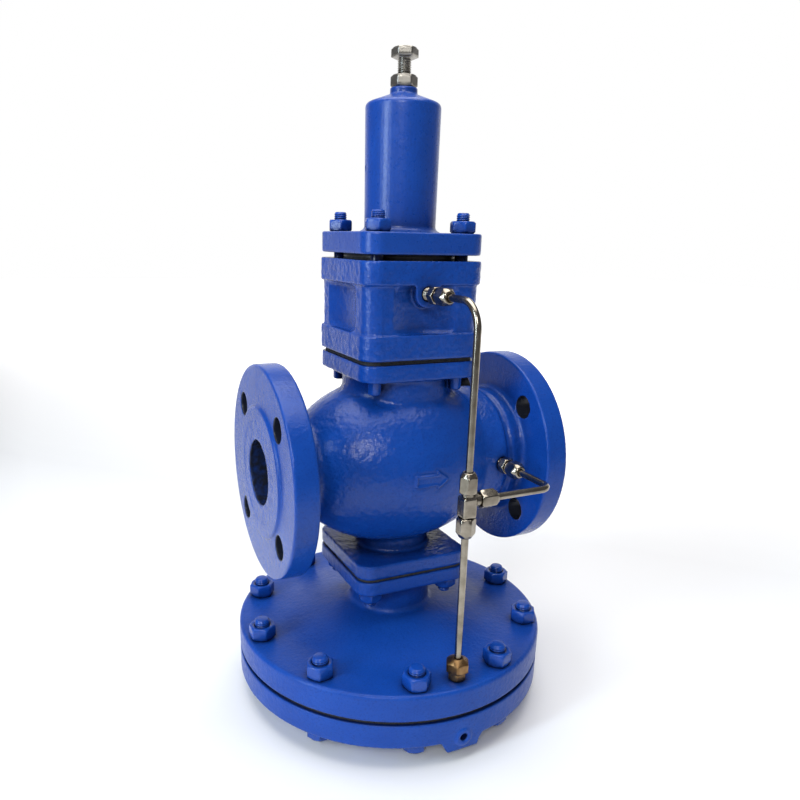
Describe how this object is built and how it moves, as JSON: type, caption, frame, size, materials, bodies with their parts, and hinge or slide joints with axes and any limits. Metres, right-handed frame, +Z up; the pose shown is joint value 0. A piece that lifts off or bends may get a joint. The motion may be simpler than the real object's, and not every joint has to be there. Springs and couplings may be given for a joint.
{
  "type": "pressure reducing valve",
  "caption": "Flanged globe-bodied pressure reducing valve with a large diaphragm case below, a pilot block and spring bonnet on top, and external control tubes.",
  "frame": {"origin": "centre of the foot ring, on the floor under the stem axis", "axes": "+Z up along the stem and the adjusting screw; +X along the pipe axis towards the outlet; the control tubes are on the -Y side"},
  "size_m": [0.2588, 0.2598, 0.5046],
  "materials": {
    "blue_paint": "semi-gloss paint over rough casting",
    "blue_fasteners": "semi-gloss paint over forged nuts and bolts",
    "bare_steel": "bright turned steel",
    "stainless_tube": "drawn stainless tube and machined fittings",
    "brass": "machined brass, slightly tarnished",
    "gasket": "matte black sheet gasket",
    "steel_sheet": "thin rolled sheet",
    "spring_steel": "drawn spring wire",
    "bronze_bush": "turned bronze"
  },
  "bodies": {
    "housing": {"lower_diaphragm_case": "blue_paint", "lower_case_gasket": "gasket", "main_diaphragm": "steel_sheet", "upper_case_gasket": "gasket", "upper_diaphragm_case": "blue_paint", "case_bolts": "blue_fasteners", "case_nuts": "blue_fasteners", "neck_bush": "bronze_bush", "case_flange_gasket": "gasket", "case_flange_studs": "blue_fasteners", "case_flange_nuts": "blue_fasteners", "valve_body": "blue_paint", "stem_guide_bush": "bronze_bush", "seat_ring": "bare_steel", "main_spring": "spring_steel", "body_gasket": "gasket", "pilot_block": "blue_paint", "pilot_chamber_plug": "bare_steel", "pilot_spring": "spring_steel", "pilot_seat": "bare_steel", "pilot_strainer": "steel_sheet", "pilot_guide_bush": "bronze_bush", "lower_pilot_gasket": "gasket", "pilot_diaphragm": "steel_sheet", "upper_pilot_gasket": "gasket", "adjusting_spring": "spring_steel", "bonnet": "blue_paint", "top_studs": "blue_fasteners", "top_nuts": "blue_fasteners", "block_connector": "stainless_tube", "block_tube_nut": "stainless_tube", "pilot_tube": "stainless_tube", "control_tee": "stainless_tube", "tee_upper_nut": "stainless_tube", "tee_lower_nut": "stainless_tube", "tee_branch_nut": "stainless_tube", "case_tube": "stainless_tube", "brass_connector": "brass", "brass_nut": "brass", "bleed_tube": "stainless_tube", "outlet_connector": "stainless_tube", "outlet_tube_nut": "stainless_tube", "bleed_orifice": "bare_steel"},
    "main_valve": {"main_stem": "bare_steel", "main_valve_head": "bare_steel", "valve_head_nut": "bare_steel", "diaphragm_plate": "bare_steel", "stem_lock_nut": "bare_steel"},
    "pilot_valve": {"pilot_plunger": "bare_steel", "pilot_push_rod": "bare_steel", "lower_spring_seat": "bare_steel"},
    "upper_spring_seat": {"upper_spring_seat": "bare_steel"},
    "adjusting_screw": {"adjusting_screw": "bare_steel"},
    "lock_nut": {"lock_nut": "bare_steel"}
  },
  "joints": [
    {"name": "main_valve_lift", "type": "slide", "parent": "housing", "child": "main_valve", "axis": [0, 0, 1], "range_m": [0, 0.006], "stiffness_N_per_m": 3000, "springref_m": -0.012, "deforming": ["main_spring", "main_diaphragm"]},
    {"name": "pilot_valve_lift", "type": "slide", "parent": "housing", "child": "pilot_valve", "axis": [0, 0, 1], "range_m": [-0.0015, 0], "stiffness_N_per_m": 2000, "springref_m": 0.004, "deforming": ["pilot_spring", "pilot_diaphragm"]},
    {"name": "adjusting_screw_feed", "type": "slide", "parent": "housing", "child": "upper_spring_seat", "axis": [0, 0, 1], "range_m": [-0.01, 0.004], "deforming": ["adjusting_spring"]},
    {"name": "adjusting_screw_turn", "type": "hinge", "parent": "upper_spring_seat", "child": "adjusting_screw", "pos_m": [0, 0, 0.5], "axis": [0, 0, 1], "range_deg": [-2400, 960]},
    {"name": "lock_nut_turn", "type": "hinge", "parent": "housing", "child": "lock_nut", "pos_m": [0, 0, 0.4826], "axis": [0, 0, 1], "range_deg": [0, 180]}
  ],
  "couplings": [
    {"joint": "adjusting_screw_turn", "follows": "adjusting_screw_feed", "rad_per_m": 4188.8}
  ]
}
